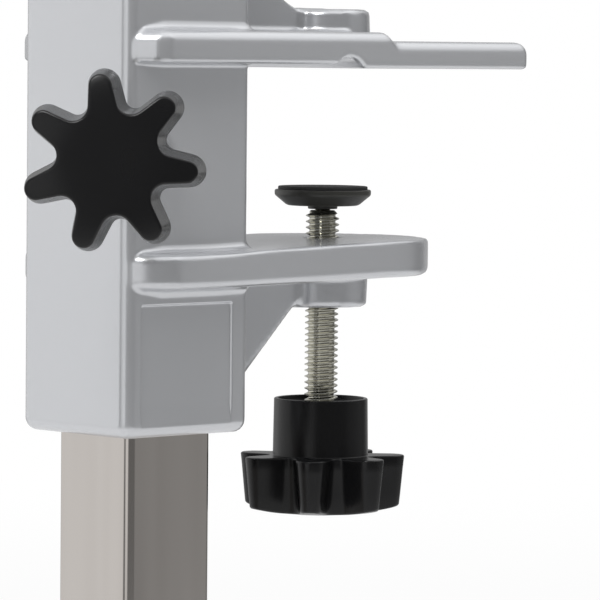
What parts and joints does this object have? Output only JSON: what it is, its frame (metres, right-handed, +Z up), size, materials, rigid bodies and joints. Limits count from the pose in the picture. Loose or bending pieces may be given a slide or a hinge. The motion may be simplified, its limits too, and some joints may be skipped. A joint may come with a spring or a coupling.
{
  "type": "bench edge clamp bracket with a sliding square post",
  "caption": "Silver cast edge clamp bracket with a square sleeve, a sliding steel post, a star lock knob on its corner and a star clamp screw with a swivel pad",
  "frame": {"origin": "on the upper jaw's gripping face, where the clamp screw's axis meets it", "axes": "+Z up along the post, +X along the jaws away from the sleeve, -Y towards the side with the lock knob"},
  "size_m": [0.1703, 0.0937, 0.305],
  "materials": {
    "casting": "smooth silver painted die casting",
    "bush_steel": "turned steel",
    "post_steel": "brushed stainless tube",
    "plug_plastic": "moulded black plastic",
    "pad_plastic": "moulded dark plastic",
    "pad_rubber": "plain black rubber",
    "screw_steel": "bright plated steel",
    "knob_plastic": "gloss black moulded plastic",
    "shoe_brass": "turned brass"
  },
  "bodies": {
    "bracket": {"clamp_bracket": "casting", "clamp_thread_insert": "bush_steel", "lock_thread_insert": "bush_steel"},
    "post": {"post_tube": "post_steel", "post_top_plug": "plug_plastic", "post_bottom_plug": "plug_plastic"},
    "pad": {"pressure_pad": "pad_plastic", "pad_facing": "pad_rubber"},
    "clamp": {"clamp_screw": "screw_steel", "clamp_knob": "knob_plastic", "clamp_knob_insert": "bush_steel"},
    "shoe": {"lock_shoe": "shoe_brass"},
    "lock": {"lock_screw": "screw_steel", "lock_knob": "knob_plastic", "lock_knob_insert": "bush_steel"}
  },
  "joints": [
    {"name": "post_slide", "type": "slide", "parent": "bracket", "child": "post", "axis": [0, 0, 1], "range_m": [-0.07, 0.055]},
    {"name": "pad_travel", "type": "slide", "parent": "bracket", "child": "pad", "axis": [0, 0, 1], "range_m": [-0.00564, 0.02117]},
    {"name": "clamp_turn", "type": "hinge", "parent": "pad", "child": "clamp", "pos_m": [0, 0, -0.0781], "axis": [0, 0, 1], "range_deg": [-1440, 5400]},
    {"name": "shoe_travel", "type": "slide", "parent": "bracket", "child": "shoe", "axis": [0.7071, 0.7071, 0], "range_m": [-0.00564, 0]},
    {"name": "lock_turn", "type": "hinge", "parent": "shoe", "child": "lock", "pos_m": [-0.058, 0, -0.02], "axis": [0.7071, 0.7071, 0], "range_deg": [-1440, 0]}
  ],
  "couplings": [
    {"joint": "pad_travel", "follows": "clamp_turn", "m_per_rad": 0.00022457},
    {"joint": "shoe_travel", "follows": "lock_turn", "m_per_rad": 0.00022457}
  ]
}
